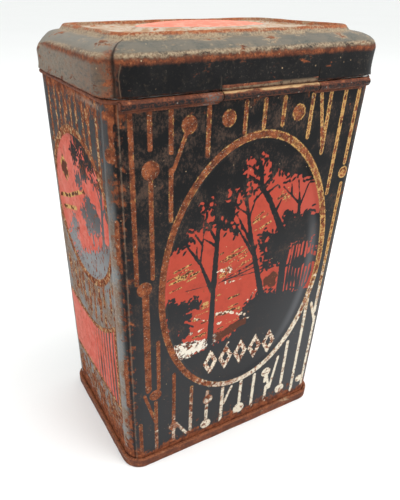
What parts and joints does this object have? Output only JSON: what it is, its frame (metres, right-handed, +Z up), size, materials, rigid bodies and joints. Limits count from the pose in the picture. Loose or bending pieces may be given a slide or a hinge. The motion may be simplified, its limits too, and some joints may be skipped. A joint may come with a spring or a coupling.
{
  "type": "hinged cookie tin",
  "caption": "Tall rectangular hinged-lid cookie tin of folded tinplate, with sunk oval panels on its walls, a folded bottom seam, an inner neck and a stepped lid on a wire hinge.",
  "frame": {"origin": "on the surface it stands on, under the middle of the tin", "axes": "+Z up, +X along the long sides, -Y towards the hinge side, +Y towards the side that opens"},
  "size_m": [0.1134, 0.0818, 0.1852],
  "materials": {
    "printed_tin": "worn gloss print with rust",
    "bare_tin": "rusted bare tinplate",
    "lid_print": "worn gloss print with rusty edges",
    "wire": "dull rusted steel wire"
  },
  "bodies": {
    "tin": {"body_sheet": "printed_tin", "bottom_end": "bare_tin", "neck_collar": "bare_tin", "hinge_wire": "wire"},
    "lid": {"lid_shell": "lid_print"}
  },
  "joints": [
    {"name": "lid_hinge", "type": "hinge", "parent": "tin", "child": "lid", "pos_m": [0, -0.0402, 0.16605], "axis": [1, 0, 0], "range_deg": [0, 185]}
  ]
}
